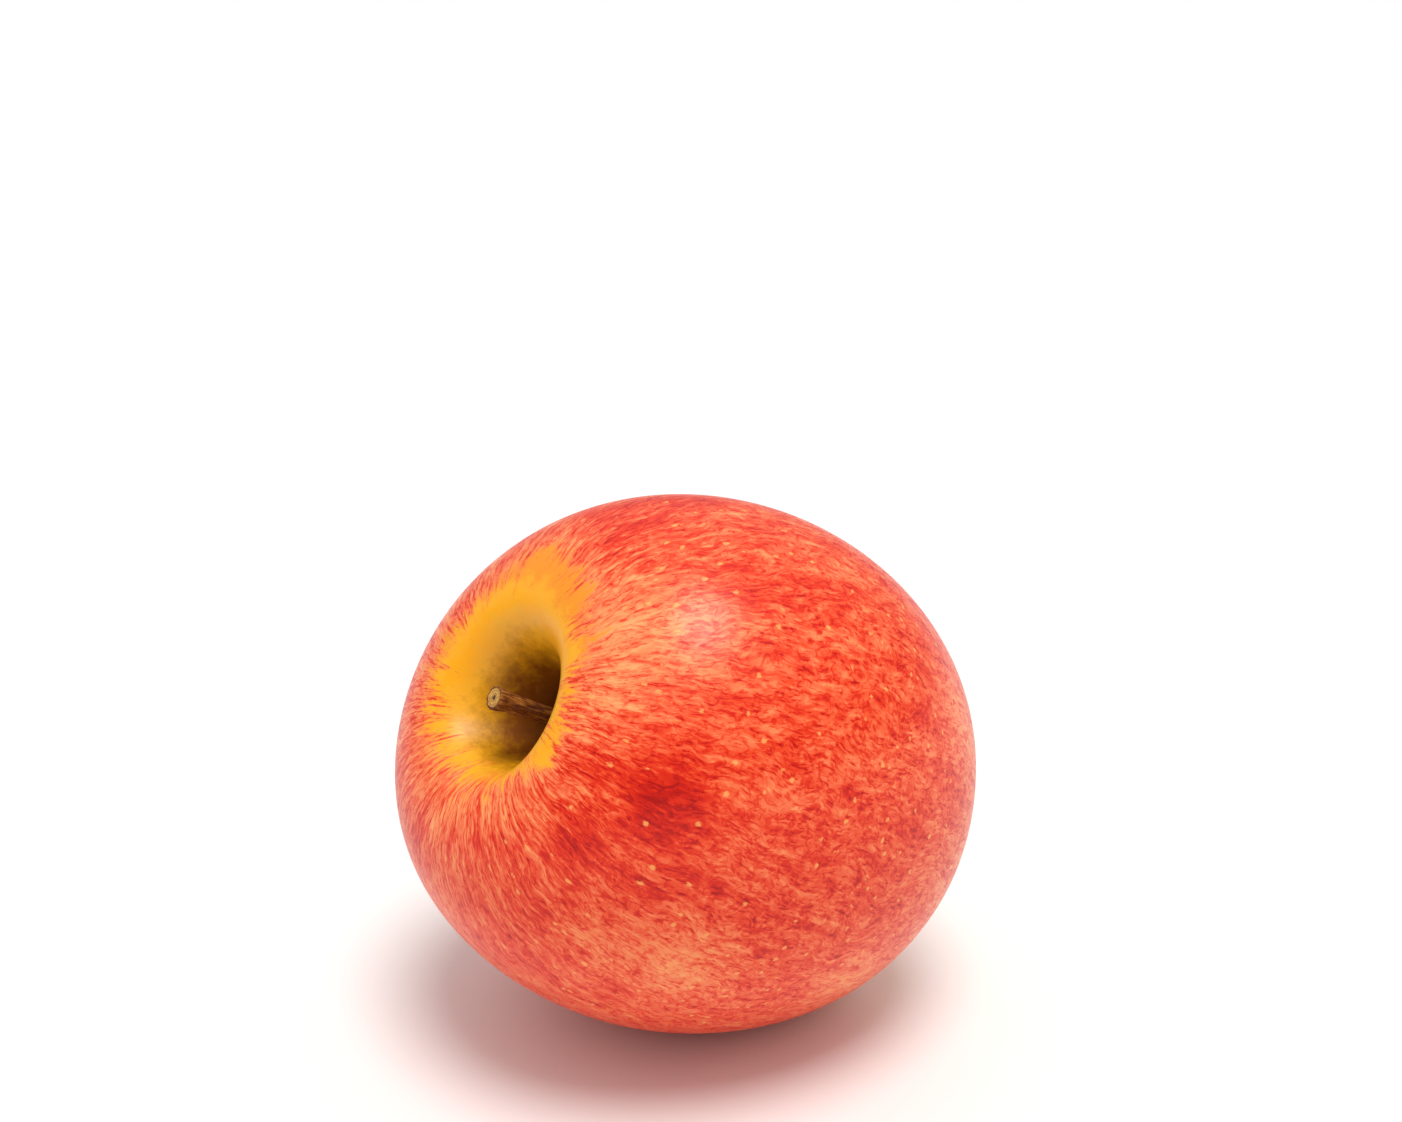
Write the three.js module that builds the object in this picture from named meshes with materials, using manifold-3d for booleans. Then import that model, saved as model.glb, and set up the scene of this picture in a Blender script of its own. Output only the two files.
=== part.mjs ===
import * as THREE from "three";
import { mergeVertices } from "three/addons/utils/BufferGeometryUtils.js";
import Module from "manifold-3d";

// An apple lying on its side: the fruit in one piece, its woody stem, and the dried flower at the other end.
// Millimetres, +Z up, with the origin at the middle of the small flat spot that the fruit rests on.
// The fruit is shaped upright about its core axis, blossom end at z = 0 and stem end up, then leaned over.

// Fruit, upright
const bellyRadius = 38;
const fruitHeight = 71.9; // base ring to shoulder
const bellyHeight = 37; // base ring to the widest girth
const shoulderRadius = 14.5; // the highest ring, round the stem cavity
const cavityDepth = 16.3; // shoulder down to the cavity floor
const cavityFloorRadius = 6;
const baseRingRadius = 15.2; // the lowest ring, round the blossom basin
const basinDepth = 7;
const basinFloorRadius = 6;

// How full each stretch of the outline is, as the length of its curve handles: 0 is flat, 1 is square
const lipFullness = 0.516;
const shoulderFullness = 0.621;
const upperFullness = 0.495;
const lowerFullness = 0.496;
const heelFullness = 0.562;
const basinFullness = 0.4;

// How this fruit departs from a round one
const ovality = 0.0275; // share of the radius, across a line at 45 degrees
const threeLobe = -0.0098; // share of the radius
const shoulderLean = [-0.86, -1.47]; // rise of the shoulder at the belly radius, along the fruit's x and y
const baseLean = [-0.52, 2.42]; // the same at the base ring
const crownCount = 5;
const crownHeight = 0.45; // low knobs round the blossom basin

// How it lies
const axisElevation = 28.63; // degrees, stem end up
const axisHeading = -144.63; // degrees round from +X
const levelHeight = 5; // how far up the underside is tipped to bring its lowest skin under the middle
const restDepth = 1.2; // how much of the round underside the rest spot takes off
const restBlend = 0.3; // height over which the spot runs out into the skin

// Stem
const stemLength = 17.6;
const stemTipRadius = 1.6; // at the cut
const stemShaftRadius = 1.3;
const stemFootRadius = 1.55;
const stemCutChamfer = 0.25; // round the cut end
const stemCutLength = 1.3; // of the thick end, below the cut
const stemNeckLength = 3.4; // from the cut to where the shaft is thin
const stemFlareLength = 4.5; // from the foot to where the shaft is thin
const stemPlainLength = 3; // above the cavity floor before ridges and bow are full
const socketDepth = 1.5; // how far the foot stands in the fruit
const stemRidges = 5;
const ridgeHeight = 0.06;
const stemBow = 0.35; // sideways, at mid length

// Dried flower in the basin
const sepalCount = 5;
const sepalLength = 6;
const sepalWidth = 2.6;
const sepalThickness = 0.6;
const sepalStandOff = 0.7; // clear of the stamens' disc
const sepalOutward = 12; // degrees away from the axis at the foot
const sepalCurl = 75; // degrees more by the tip
const sepalFootWidth = 0.85; // shares of the width: at the foot
const sepalSwell = 0.6; // more of it towards the tip, before the taper
const sepalTipWidth = 0.08; // left at the very tip
const sepalCup = 0.25; // how far the edges fold towards the axis
const sepalThinning = 0.5; // share of the thickness lost by the tip
const stamenDiscRadius = 1.9;
const stamenDiscThickness = 0.8;
const stamenDiscTaper = 0.8; // top radius as a share of the bottom one
const stamenCount = 8;
const stamenRadius = 0.22;
const stamenLength = 3.6;
const stamenRingRadius = 1.2;
const stamenRootSwell = 1.5; // root radius as a share of the thread's
const stamenSplay = 14; // degrees, for every second thread
const stamenInnerSplay = 0.4; // share of that for the others

const fitGap = 0.3; // between touching pieces

// Mesh fineness
const fruitSides = 72;
const cavitySteps = 12;
const sideSteps = 14; // above the belly and below it
const basinSteps = 8;
const stemSides = 20;
const stemSteps = 18;
const threadSides = 6;
const sepalSteps = [1, 4, 8]; // through, across and along
const curlSteps = 12; // of the sum that gives a sepal's curl
const seatSteps = 80; // of the search for a seat in the basin

const radians = THREE.MathUtils.degToRad;
const cavityFloor = fruitHeight - cavityDepth;
const midHeight = fruitHeight / 2;
const sepalRingRadius = stamenDiscRadius + sepalStandOff + sepalThickness / 2;

const wasm = await Module();
wasm.setup();

function curve(start, startHandle, endHandle, end) {
  const points = [start, startHandle, endHandle, end];
  return new THREE.CubicBezierCurve(...points.map(([r, z]) => new THREE.Vector2(r, z)));
}

function basinCurve() {
  return curve(
    [baseRingRadius, 0],
    [baseRingRadius * (1 - basinFullness), 0],
    [basinFloorRadius, basinDepth],
    [0, basinDepth],
  );
}

// The outline from the cavity floor over the shoulder, round the belly and into the blossom basin.
function fruitOutline() {
  const shoulderReach = bellyRadius - shoulderRadius;
  const heelReach = bellyRadius - baseRingRadius;
  const socketRadius = stemFootRadius + fitGap;
  const cavity = curve(
    [socketRadius, cavityFloor],
    [cavityFloorRadius, cavityFloor],
    [shoulderRadius * (1 - lipFullness), fruitHeight],
    [shoulderRadius, fruitHeight],
  );
  const upper = curve(
    [shoulderRadius, fruitHeight],
    [shoulderRadius + shoulderFullness * shoulderReach, fruitHeight],
    [bellyRadius, bellyHeight + upperFullness * (fruitHeight - bellyHeight)],
    [bellyRadius, bellyHeight],
  );
  const lower = curve(
    [bellyRadius, bellyHeight],
    [bellyRadius, bellyHeight * (1 - lowerFullness)],
    [baseRingRadius + heelFullness * heelReach, 0],
    [baseRingRadius, 0],
  );
  const socket = [
    new THREE.Vector2(0, cavityFloor - socketDepth),
    new THREE.Vector2(socketRadius, cavityFloor - socketDepth),
  ];
  const stretches = [
    cavity.getPoints(cavitySteps),
    upper.getPoints(sideSteps).slice(1),
    lower.getPoints(sideSteps).slice(1),
    basinCurve().getPoints(basinSteps).slice(1),
  ];
  return [...socket, ...stretches.flat()];
}

// A lathed solid about +Z from an outline of (radius, height) points that starts at its top.
function turned(outline, sides) {
  const upward = [...outline].reverse();
  return new THREE.LatheGeometry(upward, sides).rotateX(Math.PI / 2);
}

function eachPoint(geometry, change) {
  const position = geometry.getAttribute("position");
  const point = new THREE.Vector3();
  for (let i = 0; i < position.count; i += 1) {
    change(point.fromBufferAttribute(position, i));
    position.setXYZ(i, point.x, point.y, point.z);
  }
  return geometry;
}

// Ovality and lobes swell the sides, and the two leans tip the shoulder and the base.
function growUneven(point) {
  const angle = Math.atan2(point.y, point.x);
  const swell = 1 + ovality * Math.sin(2 * angle) + threeLobe * Math.cos(3 * angle);
  point.x *= swell;
  point.y *= swell;
  const towardsStem = THREE.MathUtils.clamp(point.z / midHeight - 1, 0, 1) ** 2;
  const towardsBase = THREE.MathUtils.clamp(1 - point.z / midHeight, 0, 1) ** 2;
  const radius = Math.hypot(point.x, point.y);
  const inner = THREE.MathUtils.smoothstep(radius, 0, baseRingRadius);
  const outer = 1 - THREE.MathUtils.smoothstep(radius, baseRingRadius, bellyRadius);
  const crown = crownHeight * Math.cos(crownCount * angle) * inner * outer;
  const stemTip = towardsStem * (shoulderLean[0] * point.x + shoulderLean[1] * point.y);
  const baseTip = towardsBase * (baseLean[0] * point.x + baseLean[1] * point.y);
  point.z += (stemTip + baseTip) / bellyRadius - crown * towardsBase;
}

// From the upright fruit to the lying one, with the middle of the core at the origin and the fruit's x axis level.
function lyingFrame() {
  const elevation = radians(axisElevation);
  const heading = radians(axisHeading);
  const level = Math.cos(elevation);
  const core = new THREE.Vector3(
    level * Math.cos(heading),
    level * Math.sin(heading),
    Math.sin(elevation),
  );
  const across = new THREE.Vector3(0, 0, 1).cross(core).normalize();
  const over = core.clone().cross(across);
  const turn = new THREE.Matrix4().makeBasis(across, over, core);
  return turn.multiply(new THREE.Matrix4().makeTranslation(0, 0, -midHeight));
}

function lowestPoint(geometry) {
  const lowest = new THREE.Vector3(0, 0, Infinity);
  eachPoint(geometry, (point) => {
    if (point.z < lowest.z) {
      lowest.copy(point);
    }
  });
  return lowest;
}

// Tips the underside until it is lowest under the middle, where the fruit balances, fading out with height.
function levelUnderside(geometry) {
  const lowest = lowestPoint(geometry);
  return eachPoint(geometry, (point) => {
    const fade = THREE.MathUtils.clamp(1 - (point.z - lowest.z) / levelHeight, 0, 1) ** 2;
    point.z += (fade * (point.x * lowest.x + point.y * lowest.y)) / bellyRadius;
  });
}

// Skin lower than the rest spot comes up to it, over a short smooth run-out.
function settled(z) {
  const above = z + restBlend;
  if (above <= 0) {
    return 0;
  }
  return z < restBlend ? above ** 2 / (4 * restBlend) : z;
}

function stemGeometry() {
  const foot = cavityFloor - socketDepth + fitGap;
  const tip = foot + stemLength;
  const outline = new THREE.SplineCurve([
    new THREE.Vector2(stemTipRadius, tip - stemCutChamfer),
    new THREE.Vector2(stemTipRadius, tip - stemCutLength),
    new THREE.Vector2(stemShaftRadius, tip - stemNeckLength),
    new THREE.Vector2(stemShaftRadius, foot + stemLength / 2),
    new THREE.Vector2(stemShaftRadius, foot + stemFlareLength),
    new THREE.Vector2(stemFootRadius, foot + socketDepth),
    new THREE.Vector2(stemFootRadius, foot),
  ]);
  const ends = [new THREE.Vector2(0, tip), new THREE.Vector2(stemTipRadius - stemCutChamfer, tip)];
  const shaft = outline.getPoints(stemSteps);
  const stem = turned([...ends, ...shaft, new THREE.Vector2(0, foot)], stemSides);
  return eachPoint(stem, (point) => {
    const radius = Math.hypot(point.x, point.y);
    const along = (point.z - foot) / stemLength;
    const clear = THREE.MathUtils.smoothstep(point.z, cavityFloor, cavityFloor + stemPlainLength);
    const ridge = ridgeHeight * clear * Math.cos(stemRidges * Math.atan2(point.y, point.x));
    const swell = radius > 0 ? 1 + ridge / stemShaftRadius : 1;
    point.x = point.x * swell + stemBow * clear * Math.sin(Math.PI * along);
    point.y *= swell;
  });
}

// The highest that a piece of this radius can stand under the basin floor, with the lean and the gap taken off.
function basinSeat(radius) {
  const skin = basinCurve().getPoints(seatSteps).find((point) => point.x <= radius);
  const leanDrop = (Math.hypot(...baseLean) * radius) / bellyRadius;
  return skin.y - leanDrop - fitGap;
}

// How far a sepal leans from the axis at this share of its length.
function curlAngle(along) {
  return radians(sepalOutward + sepalCurl * along ** 1.5);
}

// One pointed leaf, standing on its foot at the origin, leaning out along +X and curling as it goes down.
function sepalGeometry() {
  const leaf = new THREE.BoxGeometry(sepalThickness, sepalWidth, sepalLength, ...sepalSteps);
  return eachPoint(leaf, (point) => {
    const along = 0.5 - point.z / sepalLength;
    const width = Math.sqrt(1 - along) * (sepalFootWidth + sepalSwell * along) + sepalTipWidth;
    const side = (2 * point.y) / sepalWidth;
    const angle = curlAngle(along);
    const run = along * sepalLength;
    const skinOffset = point.x * (1 - sepalThinning * along) - sepalCup * side ** 2;
    let out = 0;
    let down = 0;
    for (let i = 0; i < curlSteps; i += 1) {
      const stepAngle = curlAngle((along * (i + 0.5)) / curlSteps);
      out += (Math.sin(stepAngle) * run) / curlSteps;
      down += (Math.cos(stepAngle) * run) / curlSteps;
    }
    point.x = out + skinOffset * Math.cos(angle);
    point.y *= width;
    point.z = -down + skinOffset * Math.sin(angle);
  });
}

function solid(geometry) {
  geometry.deleteAttribute("normal");
  geometry.deleteAttribute("uv");
  const merged = mergeVertices(geometry);
  const vertProperties = merged.getAttribute("position").array;
  const triVerts = new Uint32Array(merged.index.array);
  return new wasm.Manifold(new wasm.Mesh({ numProp: 3, vertProperties, triVerts }));
}

function geometryOf(manifold) {
  const mesh = manifold.getMesh();
  const geometry = new THREE.BufferGeometry();
  geometry.setAttribute("position", new THREE.BufferAttribute(mesh.vertProperties, 3));
  geometry.setIndex(new THREE.BufferAttribute(mesh.triVerts, 1));
  geometry.computeVertexNormals();
  return geometry;
}

// A low disc on the basin floor with the dried stamens standing on it, splayed a little.
function stamenGeometry() {
  const disc = new THREE.CylinderGeometry(
    stamenDiscRadius * stamenDiscTaper,
    stamenDiscRadius,
    stamenDiscThickness,
    stemSides,
  );
  disc.rotateX(-Math.PI / 2).translate(0, 0, -stamenDiscThickness / 2);
  let tuft = solid(disc);
  const rooted = stamenDiscThickness / 2;
  for (let i = 0; i < stamenCount; i += 1) {
    const thread = new THREE.CylinderGeometry(
      stamenRadius,
      stamenRadius * stamenRootSwell,
      stamenLength,
      threadSides,
    );
    thread.rotateX(-Math.PI / 2).translate(0, 0, -stamenLength / 2);
    thread.rotateY(-radians(stamenSplay) * (i % 2 ? 1 : stamenInnerSplay));
    thread.translate(stamenRingRadius, 0, -rooted);
    thread.rotateZ((2 * Math.PI * i) / stamenCount);
    tuft = tuft.add(solid(thread));
  }
  return geometryOf(tuft);
}

function piece(name, geometry, colour, roughness) {
  const material = new THREE.MeshStandardMaterial({ color: colour, roughness, metalness: 0 });
  const mesh = new THREE.Mesh(geometry, material);
  mesh.name = name;
  return mesh;
}

const upright = eachPoint(turned(fruitOutline(), fruitSides), growUneven);
const fruitShape = levelUnderside(upright.applyMatrix4(lyingFrame()));
const restHeight = lowestPoint(fruitShape).z + restDepth;
eachPoint(fruitShape, (point) => {
  point.z = settled(point.z - restHeight);
});
fruitShape.computeVertexNormals();

// Everything that stands on the core axis shares the fruit's leaned frame.
const core = new THREE.Group();
core.applyMatrix4(lyingFrame().premultiply(new THREE.Matrix4().makeTranslation(0, 0, -restHeight)));
core.add(piece("stem", stemGeometry(), "#6b4423", 0.8));

const sepalFootRadius = Math.hypot(sepalRingRadius + sepalThickness, sepalWidth / 2);
for (let i = 0; i < sepalCount; i += 1) {
  const sepal = piece(`sepal_${i + 1}`, sepalGeometry(), "#5a4a30", 0.9);
  sepal.rotation.z = (2 * Math.PI * (i + 0.5)) / sepalCount;
  sepal.position.set(sepalRingRadius, 0, basinSeat(sepalFootRadius)).applyEuler(sepal.rotation);
  core.add(sepal);
}
const stamens = piece("stamens", stamenGeometry(), "#4a3826", 0.9);
stamens.position.z = basinSeat(stamenDiscRadius);
core.add(stamens);

const apple = new THREE.Group();
apple.add(piece("fruit", fruitShape, "#d8402f", 0.35));
apple.add(core);

export default apple;
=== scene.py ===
import math
from functools import partial
import bpy
from mathutils import Matrix, Vector


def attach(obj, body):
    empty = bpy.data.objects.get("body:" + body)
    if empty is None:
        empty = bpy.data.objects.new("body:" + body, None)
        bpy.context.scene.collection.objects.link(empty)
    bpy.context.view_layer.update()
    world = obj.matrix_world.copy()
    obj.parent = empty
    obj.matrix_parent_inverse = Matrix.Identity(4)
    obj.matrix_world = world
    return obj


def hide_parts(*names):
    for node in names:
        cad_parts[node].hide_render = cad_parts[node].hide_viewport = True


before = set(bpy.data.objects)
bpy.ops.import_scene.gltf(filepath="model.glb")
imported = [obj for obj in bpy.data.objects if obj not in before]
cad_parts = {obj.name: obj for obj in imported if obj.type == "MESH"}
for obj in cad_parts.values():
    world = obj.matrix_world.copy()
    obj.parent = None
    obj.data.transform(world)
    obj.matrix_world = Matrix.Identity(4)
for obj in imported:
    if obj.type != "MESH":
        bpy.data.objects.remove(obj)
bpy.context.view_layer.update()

mm = 0.001

# how the fruit lies: its core points out of the stem end, up and towards the viewer's left
coreLie = {"elevation": 28.63, "heading": -144.63}   # degrees


def hexColour(text):
    # sRGB hex to the linear colour that the shaders want
    parts = [int(text[i:i + 2], 16) / 255 for i in (1, 3, 5)]
    return tuple(c / 12.92 if c <= 0.04045 else ((c + 0.055) / 1.055) ** 2.4 for c in parts) + (1.0,)


def coreMatrix():
    # the upright fruit's frame (metres, core on Z, middle at zero) to the place where it lies
    up, round_ = math.radians(coreLie["elevation"]), math.radians(coreLie["heading"])
    core = Vector((math.cos(up) * math.cos(round_), math.cos(up) * math.sin(round_), math.sin(up)))
    across = Vector((0, 0, 1)).cross(core).normalized()
    over = core.cross(across)
    # the stamens stand on the core, so their middle gives the core's height over the rest spot
    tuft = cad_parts["stamens"].data.vertices
    mid = sum((v.co for v in tuft), Vector()) / len(tuft)
    middle = mid - core * (mid.x / core.x)
    turn = Matrix((across, over, core)).transposed().to_4x4()
    return Matrix.Translation((0, 0, middle.z)) @ turn


lie = coreMatrix()
print("core middle", tuple(round(v / mm, 2) for v in lie.translation))


def addNode(tree, kind, settings=None, links=None):
    # settings are attributes, socket values or a ramp's stops; links are {input: node or (node, output)}
    node = tree.nodes.new(kind)
    for key, value in (settings or {}).items():
        if key == "stops":
            ramp = node.color_ramp.elements
            while len(ramp) < len(value):
                ramp.new(1.0)
            for stop, (position, colour) in zip(ramp, value):
                stop.position, stop.color = position, hexColour(colour)
        elif isinstance(key, str) and hasattr(node, key):
            setattr(node, key, value)
        else:
            node.inputs[key].default_value = value
    for key, source in (links or {}).items():
        source, output = source if isinstance(source, tuple) else (source, 0)
        tree.links.new(source.outputs[output], node.inputs[key])
    return node


def deselectAll():
    if bpy.context.object and bpy.context.object.mode != "OBJECT":
        bpy.ops.object.mode_set(mode="OBJECT")
    bpy.ops.object.select_all(action="DESELECT")


def finishPiece(piece, replaced, material):
    piece.data.materials.clear()
    piece.data.materials.append(material)
    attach(piece, "root")
    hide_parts(*replaced)


cameraSet = {
    "lens": 43.24,            # mm
    "sensor": 36,
    "place": (1.3, -222.3, 98.1),   # mm from the core's middle
    "pitch": 17,              # degrees down
}


def makeCamera():
    data = bpy.data.cameras.new("viewCamera")
    data.lens, data.sensor_width = cameraSet["lens"], cameraSet["sensor"]
    data.clip_start, data.clip_end = 0.01, 100
    camera = bpy.data.objects.new("viewCamera", data)
    bpy.context.scene.collection.objects.link(camera)
    camera.location = lie.translation + Vector(cameraSet["place"]) * mm
    camera.rotation_euler = (math.radians(90 - cameraSet["pitch"]), 0, 0)
    bpy.context.scene.camera = camera


makeCamera()
print("camera placed")


def addModifier(piece, kind, **settings):
    modifier = piece.modifiers.new(kind.lower(), kind)
    for key, value in settings.items():
        setattr(modifier, key, value)
    bpy.context.view_layer.objects.active = piece
    bpy.ops.object.modifier_apply(modifier=modifier.name)


def mergedCopy(nodeName, pieceName, levels):
    # a CAD node's copy, its corners joined and its triangles paired, then rounded
    deselectAll()
    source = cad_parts[nodeName]
    source.select_set(True)
    bpy.context.view_layer.objects.active = source
    bpy.ops.object.duplicate()
    piece = bpy.context.object
    for key in list(piece.keys()):
        del piece[key]
    piece.parent = None
    piece.name = pieceName
    bpy.ops.object.mode_set(mode="EDIT")
    bpy.ops.mesh.select_all(action="SELECT")
    bpy.ops.mesh.remove_doubles(threshold=0.01 * mm)
    bpy.ops.mesh.tris_convert_to_quads(face_threshold=math.radians(60), shape_threshold=math.radians(60))
    bpy.ops.object.mode_set(mode="OBJECT")
    addModifier(piece, "SUBSURF", levels=levels, render_levels=levels)
    return piece


def makeFruit():
    fruit = mergedCopy("fruit", "fruitSkin", 2)
    bpy.ops.object.shade_smooth()
    print("fruit", len(fruit.data.polygons), "faces")
    return fruit


def plain(name, colour, roughness):
    material = bpy.data.materials.new(name)
    material.use_nodes = True
    shader = material.node_tree.nodes["Principled BSDF"]
    shader.inputs["Base Color"].default_value = hexColour(colour)
    shader.inputs["Roughness"].default_value = roughness
    return material


def uprightMm(add):
    # the upright fruit's frame in mm, from Object coordinates
    upright = lie.inverted()
    where = add("ShaderNodeTexCoord")
    return add("ShaderNodeMapping", {"Location": upright.translation / mm, "Rotation": upright.to_euler(),
                                     "Scale": (1 / mm,) * 3}, {"Vector": (where, "Object")})


skinLook = {
    "bellyRadius": 38,           # mm, across the core
    "ringRadius": 14,            # mm, the shoulder ring, which the skin curls round from cavity to basin
    "wrapRadius": 28,            # mm, how far the skin runs for each radian of that curl
    "dashWidth": 0.45,           # mm, short dark flecks in the outer skin
    "dashLength": 2.0,
    "grainWidth": 1.15,          # mm, the short strokes that the blush is made of
    "grainLength": 3.0,
    "strandWidth": 1.7,          # mm, longer streaks
    "strandLength": 13,
    "bandWidth": 4.5,            # mm, groups of strands
    "bandLength": 26,
    "mottleSize": 1.0,           # mm, the curly dappling between streaks
    "speckSize": 1.6,            # mm, dull specks in the cavity
    "blotchSize": 13,            # mm, clouds of deeper and paler blush
    "redness": 0.52,             # 0 is pale orange, 1 is crimson
    "blushStart": 91,            # degrees of latitude where the cavity's yellow gives way
    "blushLean": 6,              # degrees further out on one side
    "blushSoft": 9,              # degrees over which it turns red
    "poreSpacing": 2.9,          # mm
    "poreRadius": 0.46,          # mm
    "roughness": 0.32,
    "relief": 0.06,              # mm
}

# broad patches of the blush, and one painted highlight: heading round the core, radius and height on the upright
# fruit, reach (mm), more red
blushAndHighlightPatches = [
    (359, 30, 27.5, 8.5, 0.34),
    (334, 25.5, 32, 6.5, 0.24),
    (345, 31, 26, 15, 0.14),
    (316, 32.5, 23.5, 8, -0.22),
    (322, 36, 14, 12, -0.26),
    (330, 36, -14, 11, -0.24),
    (37, 35, -16, 11, -0.18),
    (7, 35, -15, 9, -0.08),
    (62, 37.5, 7, 12, -0.12),
    (88, 34, 20, 8, 0.12),
    # paler where the key light's highlight falls: partly the skin's own paler tone, partly a painted highlight
    (38, 27, 30, 13, -0.2),
    (20, 22, 33, 9, -0.12),
    (50, 33, 22, 7, 0.12),
]

# where the yellow runs further out, given the same way
yellowTongues = [
    (103, 20, 35, 6, 1.0),
    (80, 18, 35, 8, 0.5),
    (140, 20, 35, 10, -0.5),
    (352, 15, 36, 5, 1.0),
]


def skinMaterial():
    # wax over a blushed cuticle: satin, with a soft broad highlight, yellow ground under streaks and flecks of red
    material = bpy.data.materials.new("blushedAppleSkin")
    material.use_nodes = True
    tree = material.node_tree
    shader = tree.nodes["Principled BSDF"]
    add = partial(addNode, tree)
    look = skinLook
    place = uprightMm(add)
    split = add("ShaderNodeSeparateXYZ", None, {0: place})
    level = add("ShaderNodeVectorMath", {"operation": "MULTIPLY", 1: (1, 1, 0)}, {0: place})
    radius = add("ShaderNodeVectorMath", {"operation": "LENGTH"}, {0: level})
    facing = add("ShaderNodeVectorMath", {"operation": "NORMALIZE"}, {0: level})
    outward = add("ShaderNodeMath", {"operation": "SUBTRACT", 1: look["ringRadius"]}, {0: (radius, "Value")})
    latitude = add("ShaderNodeMath", {"operation": "ARCTAN2"}, {0: (split, "Z"), 1: outward})

    # skin coordinates in mm: two for the heading, one for the latitude, wandering a little as growth does
    climb = add("ShaderNodeCombineXYZ", None, {2: latitude})
    ringed = add("ShaderNodeVectorMath", {"operation": "ADD"}, {0: facing, 1: climb})
    meridian = add("ShaderNodeVectorMath", {"operation": "MULTIPLY", 1: (look["bellyRadius"], look["bellyRadius"],
                                                                         look["wrapRadius"])}, {0: ringed})
    wander = add("ShaderNodeTexNoise", {"Scale": 1 / 8, "Detail": 2.0}, {"Vector": place})
    centred = add("ShaderNodeVectorMath", {"operation": "SUBTRACT", 1: (0.5, 0.5, 0.5)}, {0: (wander, "Color")})
    along = add("ShaderNodeVectorMath", {"operation": "MULTIPLY_ADD", 1: (4.5, 4.5, 0.0)},
                {0: centred, 2: meridian})

    def streaks(width, length, detail, offset, distortion=0.0):
        spread = add("ShaderNodeVectorMath", {"operation": "MULTIPLY_ADD", 1: (1 / width, 1 / width, 1 / length),
                                              2: (offset, offset, offset)}, {0: along})
        return add("ShaderNodeTexNoise", {"Scale": 1.0, "Detail": detail, "Roughness": 0.55,
                                          "Distortion": distortion}, {"Vector": spread})

    dash = streaks(look["dashWidth"], look["dashLength"], 1.0, 11)
    grain = streaks(look["grainWidth"], look["grainLength"], 3.0, 31, 0.35)
    strand = streaks(look["strandWidth"], look["strandLength"], 3.0, 5, 0.2)
    band = streaks(look["bandWidth"], look["bandLength"], 2.0, 0)
    mottle = streaks(look["mottleSize"], look["mottleSize"] * 1.3, 2.0, 23, 1.2)
    blotch = add("ShaderNodeTexNoise", {"Scale": 1 / look["blotchSize"], "Detail": 2.0, "Roughness": 0.5},
                 {"Vector": place})

    def weighted(parts, start):
        # start plus each noise, centred and scaled by its share
        total = start
        for noise, share in parts:
            total = add("ShaderNodeMath", {"operation": "MULTIPLY_ADD", 1: share},
                        {0: (noise, "Fac"), 2: total})
        return add("ShaderNodeMath", {"operation": "SUBTRACT", 1: sum(share for _, share in parts) / 2}, {0: total})

    def nearby(areas, sign, start):
        # start plus each area's share, which fades to nothing at its reach
        total = start
        for heading, out, height, reach, more in areas:
            turn = math.radians(heading)
            spot = add("ShaderNodeVectorMath", {"operation": "DISTANCE",
                                                1: (out * math.cos(turn), out * math.sin(turn), height)}, {0: place})
            near = add("ShaderNodeMapRange", {"interpolation_type": "SMOOTHSTEP", "From Min": 0.0, "From Max": reach,
                                              "To Min": sign * more, "To Max": 0.0}, {"Value": (spot, "Value")})
            total = add("ShaderNodeMath", {"operation": "ADD"}, {0: total, 1: near})
        return total

    # how far past the yellow of the cavity: 0 in it, 1 where the blush is full
    lean = add("ShaderNodeVectorMath", {"operation": "DOT_PRODUCT", 1: (-0.25, 1.0, 0.0)}, {0: facing})
    edge = add("ShaderNodeMath", {"operation": "MULTIPLY_ADD", 1: -math.radians(look["blushLean"]),
                                  2: math.radians(look["blushStart"])}, {0: (lean, "Value")})
    past = add("ShaderNodeMath", {"operation": "SUBTRACT"}, {0: edge, 1: latitude})
    past = add("ShaderNodeMath", {"operation": "DIVIDE", 1: math.radians(look["blushSoft"])}, {0: past})
    past = nearby(yellowTongues, -1, past)
    past = weighted([(band, 1.4), (strand, 1.2), (grain, 2.4), (mottle, 1.4)], past)
    blush = add("ShaderNodeMapRange", {"interpolation_type": "SMOOTHSTEP", "From Min": -0.15, "From Max": 0.65},
                {"Value": past})

    # depth of red where it is blushed, paler beside the yellow; towards the blossom end the ground shows again
    red = add("ShaderNodeMapRange", {"interpolation_type": "SMOOTHSTEP", "From Min": math.radians(-35),
                                     "From Max": math.radians(-95), "To Min": look["redness"],
                                     "To Max": look["redness"] - 0.42}, {"Value": latitude})
    # broad blush patches, one of them a painted highlight
    red = nearby(blushAndHighlightPatches, 1, red)
    paler = add("ShaderNodeMapRange", {"interpolation_type": "SMOOTHSTEP", "From Min": 0.0, "From Max": 2.4,
                                       "To Min": -0.24, "To Max": 0.0}, {"Value": past})
    red = add("ShaderNodeMath", {"operation": "ADD"}, {0: red, 1: paler})
    curl = add("ShaderNodeMath", {"operation": "SUBTRACT", 1: 0.5}, {0: (mottle, "Fac")})
    curl = add("ShaderNodeMath", {"operation": "ABSOLUTE"}, {0: curl})
    vein = add("ShaderNodeMapRange", {"interpolation_type": "SMOOTHSTEP", "From Min": 0.05, "From Max": 0.0,
                                      "To Max": -0.1}, {"Value": curl})
    red = add("ShaderNodeMath", {"operation": "ADD"}, {0: red, 1: vein})
    red = weighted([(blotch, 0.2), (band, 0.3), (strand, 0.45), (grain, 0.8), (mottle, 0.75)], red)
    fleck = add("ShaderNodeMapRange", {"interpolation_type": "SMOOTHSTEP", "From Min": 0.58, "From Max": 0.70,
                                       "To Max": 0.26}, {"Value": (dash, "Fac")})
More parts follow.
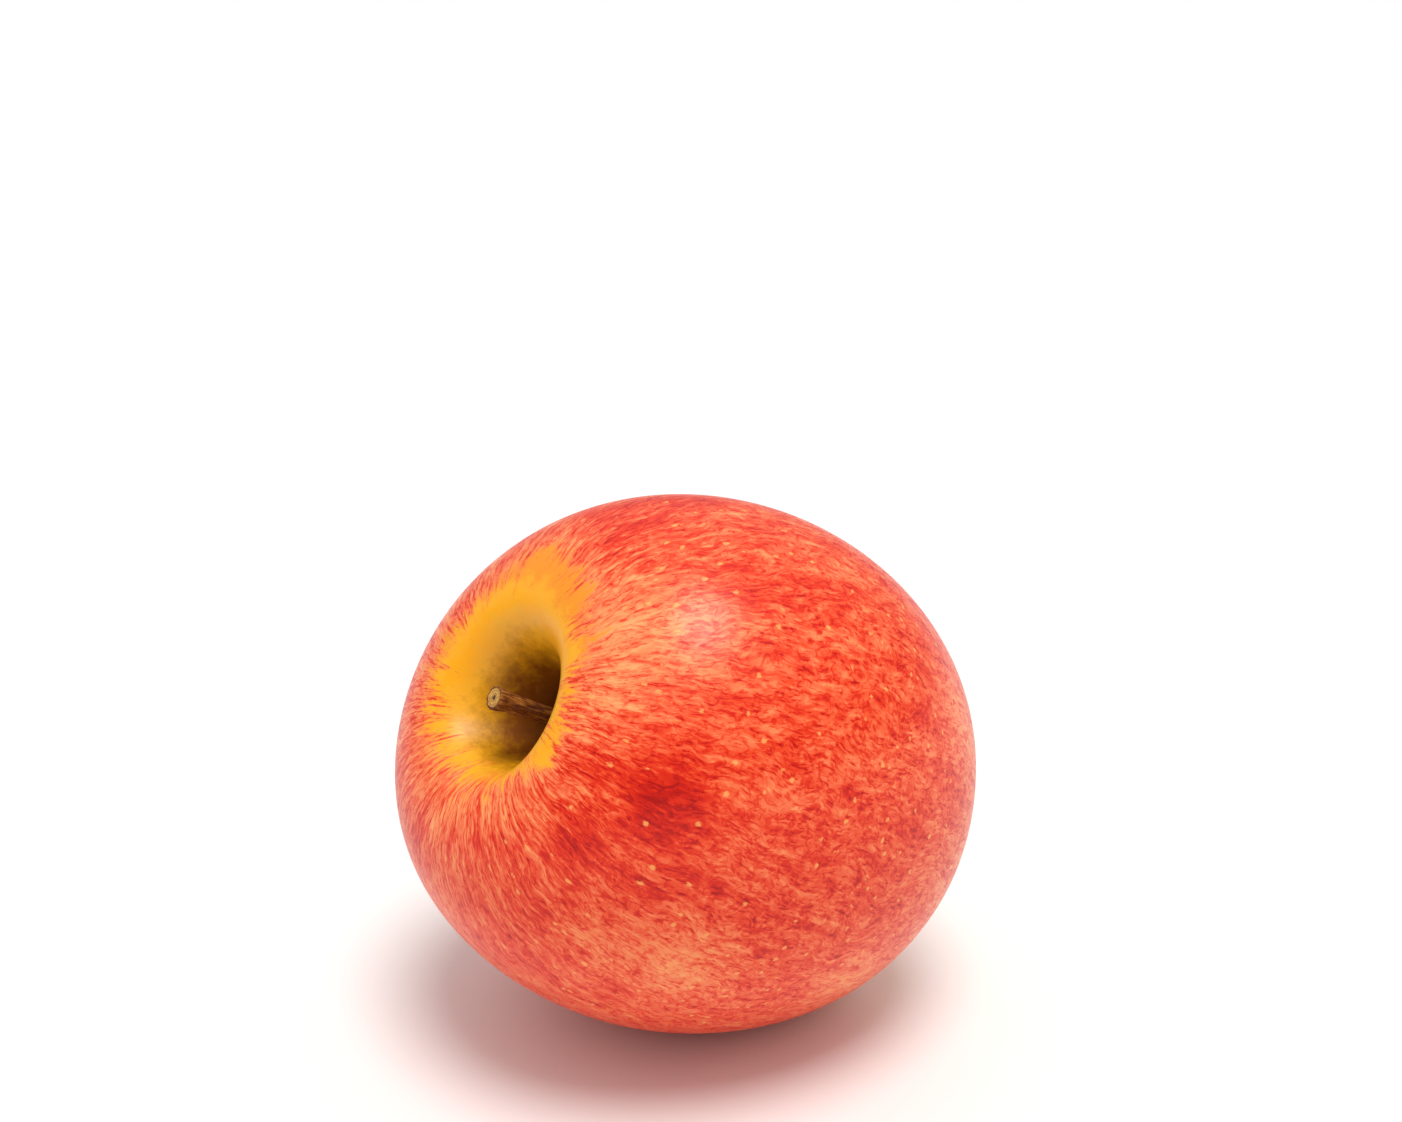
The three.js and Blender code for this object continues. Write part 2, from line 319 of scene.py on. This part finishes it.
    thread = add("ShaderNodeMapRange", {"interpolation_type": "SMOOTHSTEP", "From Min": 0.42, "From Max": 0.30,
                                        "To Max": 0.12}, {"Value": (dash, "Fac")})
    red = add("ShaderNodeMath", {"operation": "ADD"}, {0: red, 1: fleck})
    red = add("ShaderNodeMath", {"operation": "SUBTRACT"}, {0: red, 1: thread})
    redRamp = add("ShaderNodeValToRGB", {"stops": [
        (0.0, "#FCA468"), (0.2, "#FA8C56"), (0.36, "#F56C42"), (0.5, "#EE4C26"), (0.64, "#E22E10"),
        (0.8, "#D01A08"), (1.0, "#AC0A04")]}, {"Fac": red})
    # yellow ground of the cavity, turning brown further down: partly russet, partly painted shade darkening the deep
    # cavity walls and floor
    speck = add("ShaderNodeTexNoise", {"Scale": 1 / look["speckSize"], "Detail": 4.0, "Roughness": 0.7},
                {"Vector": place})
    deep = weighted([(speck, 0.2), (blotch, 0.24)], latitude)
    cavityDepth = add("ShaderNodeMapRange", {"From Min": math.radians(84), "From Max": math.radians(124)},
                     {"Value": deep})
    # stops darken from yellow through olive to brown with depth: russet together with painted shade
    cavityRussetAndShade = add("ShaderNodeValToRGB", {"stops": [
        (0.0, "#F49422"), (0.1, "#FBAE26"), (0.2, "#FAA80E"), (0.3, "#F2AC22"), (0.38, "#D6950E"), (0.46, "#B0760A"),
        (0.56, "#84480A"), (0.72, "#6A3408"), (1.0, "#4A2004")]},
        {"Fac": cavityDepth})
    colour = add("ShaderNodeMix", {"data_type": "RGBA"}, {"Factor": blush, 6: cavityRussetAndShade, 7: redRamp})

    # pores: little corky dots, paler than the blush
    ragged = add("ShaderNodeVectorMath", {"operation": "MULTIPLY_ADD", 1: (0.9, 0.9, 0.9)},
                 {0: (mottle, "Color"), 2: meridian})
    pores = add("ShaderNodeTexVoronoi", {"Scale": 1 / look["poreSpacing"]}, {"Vector": ragged})
    poreSize = look["poreRadius"] / look["poreSpacing"]
    pore = add("ShaderNodeMapRange", {"interpolation_type": "SMOOTHSTEP", "From Min": poreSize,
                                      "From Max": poreSize * 0.5}, {"Value": (pores, "Distance")})
    pore = add("ShaderNodeMath", {"operation": "MULTIPLY"}, {0: pore, 1: blush})
    poreShare = add("ShaderNodeMath", {"operation": "MULTIPLY", 1: 0.75}, {0: pore})
    pored = add("ShaderNodeMix", {"data_type": "RGBA", 7: hexColour("#FCAE60")},
                {"Factor": poreShare, 6: (colour, 2)})
    tree.links.new(pored.outputs[2], shader.inputs["Base Color"])

    # wax: uneven sheen, and a skin that is never quite smooth
    sheenNoise = add("ShaderNodeMapRange", {"From Min": 0.3, "From Max": 0.7,
                                            "To Min": look["roughness"] - 0.05, "To Max": look["roughness"] + 0.07},
                     {"Value": (mottle, "Fac")})
    tree.links.new(sheenNoise.outputs[0], shader.inputs["Roughness"])
    relief = weighted([(mottle, 0.6), (dash, 0.4)], pore)
    bump = add("ShaderNodeBump", {"Strength": 0.35, "Distance": look["relief"] * mm}, {"Height": relief})
    tree.links.new(bump.outputs[0], shader.inputs["Normal"])
    shader.inputs["IOR"].default_value = 1.4
    shader.inputs["Specular IOR Level"].default_value = 0.38
    shader.inputs["Subsurface Weight"].default_value = 0.06
    shader.inputs["Subsurface Radius"].default_value = (1.0, 0.4, 0.2)
    shader.inputs["Subsurface Scale"].default_value = 0.0012
    return material


finishPiece(makeFruit(), ["fruit"], skinMaterial())
print("skin on")

stemLook = {
    "sides": 32,
    "profile": [              # mm below the cut end, and radius
        (17.4, 1.50), (15.5, 1.42), (13.0, 1.26), (10.0, 1.16), (7.0, 1.13), (4.6, 1.20), (3.4, 1.34), (2.6, 1.26),
        (1.9, 1.38), (1.2, 1.55), (0.6, 1.62), (0.15, 1.58)],
    "rim": 0.22,              # mm, the bark's thickness round the cut
    "dish": 0.12,             # mm, how far the cut face sinks
    "pith": 0.34,             # mm, radius of the dark middle
    "ridge": 0.16,            # mm, depth of the bark's furrows
    "bend": 0.25,             # mm of bow sideways
    "ringStep": 0.35,         # mm between the loops of the cut face
    "bulge": 0.04,            # mm, the wood standing proud inside the rim
    "pithInset": 0.3,         # mm, the last loop, round the pith
    "pithSink": 0.1,          # mm
    "furrowWidth": 1.1,       # mm
    "furrowLength": 9,        # mm
}


def uprightTip(name):
    # how far up the core a CAD node reaches
    return max((lie.inverted() @ v.co).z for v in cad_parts[name].data.vertices)


def settle(piece):
    # from the upright fruit's frame to its place, with the place in the mesh
    deselectAll()
    piece.select_set(True)
    bpy.context.view_layer.objects.active = piece
    piece.matrix_world = lie @ piece.matrix_world
    bpy.ops.object.transform_apply(location=True, rotation=True, scale=True)
    return piece


def makeStem():
    look = stemLook
    tip = uprightTip("stem")
    deselectAll()
    start, radius = look["profile"][0]
    bpy.ops.mesh.primitive_circle_add(vertices=look["sides"], radius=radius * mm, fill_type="NGON",
                                      location=(0, 0, tip - start * mm))
    stem = bpy.context.object
    stem.name = "stemPiece"
    bpy.ops.object.transform_apply(location=True, rotation=True, scale=True)
    bpy.ops.object.mode_set(mode="EDIT")
    bpy.ops.mesh.select_mode(type="FACE")
    bpy.ops.mesh.select_all(action="SELECT")
    for (lastDown, lastRadius), (down, radius) in zip(look["profile"], look["profile"][1:]):
        # the shaft bows a little between its ends
        bow = look["bend"] * (math.sin(math.pi * down / start) - math.sin(math.pi * lastDown / start))
        bpy.ops.mesh.extrude_region_move(TRANSFORM_OT_translate={"value": (bow * mm, 0, (lastDown - down) * mm)})
        grow = radius / lastRadius
        bpy.ops.transform.resize(value=(grow, grow, 1))
    # bark rim, the sunk cut face, then the pith
    bpy.ops.mesh.inset(thickness=look["rim"] * mm)
    bpy.ops.transform.translate(value=(0, 0, -look["dish"] * mm))
    bpy.ops.mesh.inset(thickness=look["ringStep"] * mm)
    bpy.ops.mesh.inset(thickness=look["ringStep"] * mm)
    bpy.ops.transform.translate(value=(0, 0, look["bulge"] * mm))
    bpy.ops.mesh.inset(thickness=look["pithInset"] * mm)
    bpy.ops.transform.translate(value=(0, 0, -look["pithSink"] * mm))
    bpy.ops.mesh.select_all(action="SELECT")
    bpy.ops.mesh.normals_make_consistent(inside=False)
    bpy.ops.object.mode_set(mode="OBJECT")
    addModifier(stem, "SUBSURF", levels=3, render_levels=3)
    # bark furrows run along the shaft, so the texture that raises them is stretched that way
    furrows = bpy.data.textures.new("furrows", "CLOUDS")
    furrows.noise_scale, furrows.noise_depth = 0.5, 3
    ruler = bpy.data.objects.new("furrowRuler", None)
    bpy.context.scene.collection.objects.link(ruler)
    ruler.scale = (look["furrowWidth"] * mm, look["furrowWidth"] * mm, look["furrowLength"] * mm)
    bpy.context.view_layer.update()
    addModifier(stem, "DISPLACE", texture=furrows, texture_coords="OBJECT", texture_coords_object=ruler,
                strength=look["ridge"] * 2 * mm, mid_level=0.5)
    bpy.data.objects.remove(ruler)
    bpy.ops.object.shade_smooth()
    print("stem", len(stem.data.polygons), "faces")
    return settle(stem)


def stemMaterial():
    # dried fruit stalk: corky brown bark with lengthwise furrows, dull, and a ringed tan cut face with a dark pith
    material = bpy.data.materials.new("driedStalk")
    material.use_nodes = True
    tree = material.node_tree
    shader = tree.nodes["Principled BSDF"]
    add = partial(addNode, tree)
    place = uprightMm(add)
    tip = uprightTip("stem")
    split = add("ShaderNodeSeparateXYZ", None, {0: place})
    level = add("ShaderNodeVectorMath", {"operation": "MULTIPLY", 1: (1, 1, 0)}, {0: place})
    radius = add("ShaderNodeVectorMath", {"operation": "LENGTH"}, {0: level})
    # fibres 0.3 mm across and a few mm long
    fibreVector = add("ShaderNodeVectorMath", {"operation": "MULTIPLY", 1: (1 / 0.3, 1 / 0.3, 1 / 3.5)}, {0: place})
    fibre = add("ShaderNodeTexNoise", {"Scale": 1.0, "Detail": 4.0, "Roughness": 0.65}, {"Vector": fibreVector})
    patch = add("ShaderNodeTexNoise", {"Scale": 1 / 1.6, "Detail": 2.0}, {"Vector": place})
    mixed = add("ShaderNodeMath", {"operation": "MULTIPLY_ADD", 1: 0.4}, {0: (patch, "Fac"), 2: (fibre, "Fac")})
    bark = add("ShaderNodeValToRGB", {"stops": [
        (0.0, "#301404"), (0.4, "#5A2A08"), (0.55, "#844A12"), (0.7, "#A0661E"), (1.0, "#C48C3A")]},
        {"Fac": add("ShaderNodeMapRange", {"From Min": 0.35, "From Max": 1.05}, {"Value": mixed})})
    # growth rings 0.42 mm apart on the cut, dark towards the pith
    ripple = add("ShaderNodeMath", {"operation": "MULTIPLY_ADD", 1: 2 * math.pi / 0.42},
                 {0: (radius, "Value"), 2: add("ShaderNodeMath", {"operation": "MULTIPLY", 1: 5.0},
                                               {0: (patch, "Fac")})})
    rings = add("ShaderNodeMath", {"operation": "SINE"}, {0: ripple})
    rings = add("ShaderNodeMath", {"operation": "MULTIPLY_ADD", 1: 0.16}, {0: rings, 2: (fibre, "Fac")})
    cut = add("ShaderNodeValToRGB", {"stops": [
        (0.0, "#7C4C1C"), (0.35, "#AE7A34"), (0.6, "#CE9C4E"), (1.0, "#E4BC74")]}, {"Fac": rings})
    inner = add("ShaderNodeMapRange", {"interpolation_type": "SMOOTHSTEP", "From Min": stemLook["pith"] * 0.6,
                                       "From Max": stemLook["pith"] * 1.5, "To Min": 1.0, "To Max": 0.0},
                {"Value": (radius, "Value")})
    pithy = add("ShaderNodeMix", {"data_type": "RGBA", 7: hexColour("#3A1E0A")}, {"Factor": inner, 6: cut})
    # the face is the last half millimetre and more, inside the bark rim
    end = add("ShaderNodeMapRange", {"From Min": tip / mm - 0.75, "From Max": tip / mm - 0.5}, {"Value": (split, "Z")})
    inside = add("ShaderNodeMapRange", {"From Min": 1.32, "From Max": 1.18}, {"Value": (radius, "Value")})
    face = add("ShaderNodeMath", {"operation": "MULTIPLY"}, {0: end, 1: inside})
    colour = add("ShaderNodeMix", {"data_type": "RGBA"}, {"Factor": face, 6: bark, 7: (pithy, 2)})
    tree.links.new(colour.outputs[2], shader.inputs["Base Color"])
    bump = add("ShaderNodeBump", {"Strength": 0.8, "Distance": 0.00012}, {"Height": mixed})
    tree.links.new(bump.outputs[0], shader.inputs["Normal"])
    rough = add("ShaderNodeMapRange", {"From Min": 0.3, "From Max": 0.7, "To Min": 0.62, "To Max": 0.85},
                {"Value": (fibre, "Fac")})
    tree.links.new(rough.outputs[0], shader.inputs["Roughness"])
    shader.inputs["Specular IOR Level"].default_value = 0.35
    return material


finishPiece(makeStem(), ["stem"], stemMaterial())
print("stem on")

flowerLook = {
    "crumple": 0.35,          # mm, how far the dry sepals buckle
    "crumpleSize": 1.3,       # mm
    "wither": 0.08,           # mm, unevenness of the stamens
    "witherSize": 0.8,        # mm
}


def makeDry(name, pieceName, depth, size, levels):
    # a withered copy of a CAD node: rounded, then buckled
    piece = mergedCopy(name, pieceName, levels)
    buckle = bpy.data.textures.new(pieceName + "Buckle", "CLOUDS")
    buckle.noise_scale, buckle.noise_depth = size * mm, 2
    addModifier(piece, "DISPLACE", texture=buckle, texture_coords="GLOBAL", strength=depth * 2 * mm, mid_level=0.5)
    bpy.ops.object.shade_smooth()
    return piece


def flowerMaterial():
    # withered sepal: papery and fibrous, grey-brown in darker and paler fibres, no shine
    material = bpy.data.materials.new("witheredFlower")
    material.use_nodes = True
    tree = material.node_tree
    shader = tree.nodes["Principled BSDF"]
    add = partial(addNode, tree)
    place = uprightMm(add)
    fibreVector = add("ShaderNodeVectorMath", {"operation": "MULTIPLY", 1: (1 / 0.35, 1 / 0.35, 1 / 1.6)}, {0: place})
    fibre = add("ShaderNodeTexNoise", {"Scale": 1.0, "Detail": 4.0, "Roughness": 0.6}, {"Vector": fibreVector})
    colour = add("ShaderNodeValToRGB", {"stops": [
        (0.25, "#2E1C0E"), (0.45, "#5C3F22"), (0.6, "#84643C"), (0.8, "#A88C60")]}, {"Fac": (fibre, "Fac")})
    tree.links.new(colour.outputs[0], shader.inputs["Base Color"])
    bump = add("ShaderNodeBump", {"Strength": 0.7, "Distance": 0.0001}, {"Height": (fibre, "Fac")})
    tree.links.new(bump.outputs[0], shader.inputs["Normal"])
    shader.inputs["Roughness"].default_value = 0.85
    shader.inputs["Specular IOR Level"].default_value = 0.25
    return material


withered = flowerMaterial()
for name in sorted(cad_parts):
    if name.startswith("sepal"):
        finishPiece(makeDry(name, name + "Dry", flowerLook["crumple"], flowerLook["crumpleSize"], 2), [name],
                    withered)
finishPiece(makeDry("stamens", "stamensDry", flowerLook["wither"], flowerLook["witherSize"], 1), ["stamens"],
            withered)
print("dried flower on")


stageLook = {
    "tentSide": 0.34,            # light from the horizon
    "tentTop": 0.84,             # and from overhead
    "key": 2.05,
    "keySize": 27,               # degrees
    "keyFrom": (0.10, -0.24, 0.97),
}


def makeStage():
    deselectAll()
    bpy.ops.mesh.primitive_circle_add(vertices=96, radius=6, fill_type="NGON", location=(0, 0, 0))
    floor = bpy.context.object
    floor.name = "floor"
    floor.data.materials.append(plain("paleFloor", "#F3F1EE", 0.7))
    world = bpy.data.worlds.new("studio")
    bpy.context.scene.world = world
    world.use_nodes = True
    # a soft tent, brighter overhead than at the sides, in front of a plain white backdrop
    tree = world.node_tree
    add = partial(addNode, tree)
    background = tree.nodes["Background"]
    background.inputs["Color"].default_value = (1, 1, 1, 1)
    where = add("ShaderNodeTexCoord")
    split = add("ShaderNodeSeparateXYZ", None, {0: (where, "Generated")})
    tent = add("ShaderNodeMapRange", {"interpolation_type": "SMOOTHSTEP", "From Min": 0.1, "From Max": 1.0,
                                      "To Min": stageLook["tentSide"], "To Max": stageLook["tentTop"]},
               {"Value": (split, "Z")})
    path = add("ShaderNodeLightPath")
    seen = add("ShaderNodeMapRange", {"To Max": 1.0}, {"Value": (path, "Is Camera Ray"), "To Min": tent})
    tree.links.new(seen.outputs[0], background.inputs["Strength"])
    sun = bpy.data.lights.new("keyLight", "SUN")
    sun.energy = stageLook["key"]
    sun.angle = math.radians(stageLook["keySize"])
    key = bpy.data.objects.new("keyLight", sun)
    bpy.context.scene.collection.objects.link(key)
    key.rotation_euler = Vector(stageLook["keyFrom"]).to_track_quat("Z", "Y").to_euler()
    scene = bpy.context.scene
    scene.view_settings.view_transform = "Standard"


makeStage()
print("stage set")
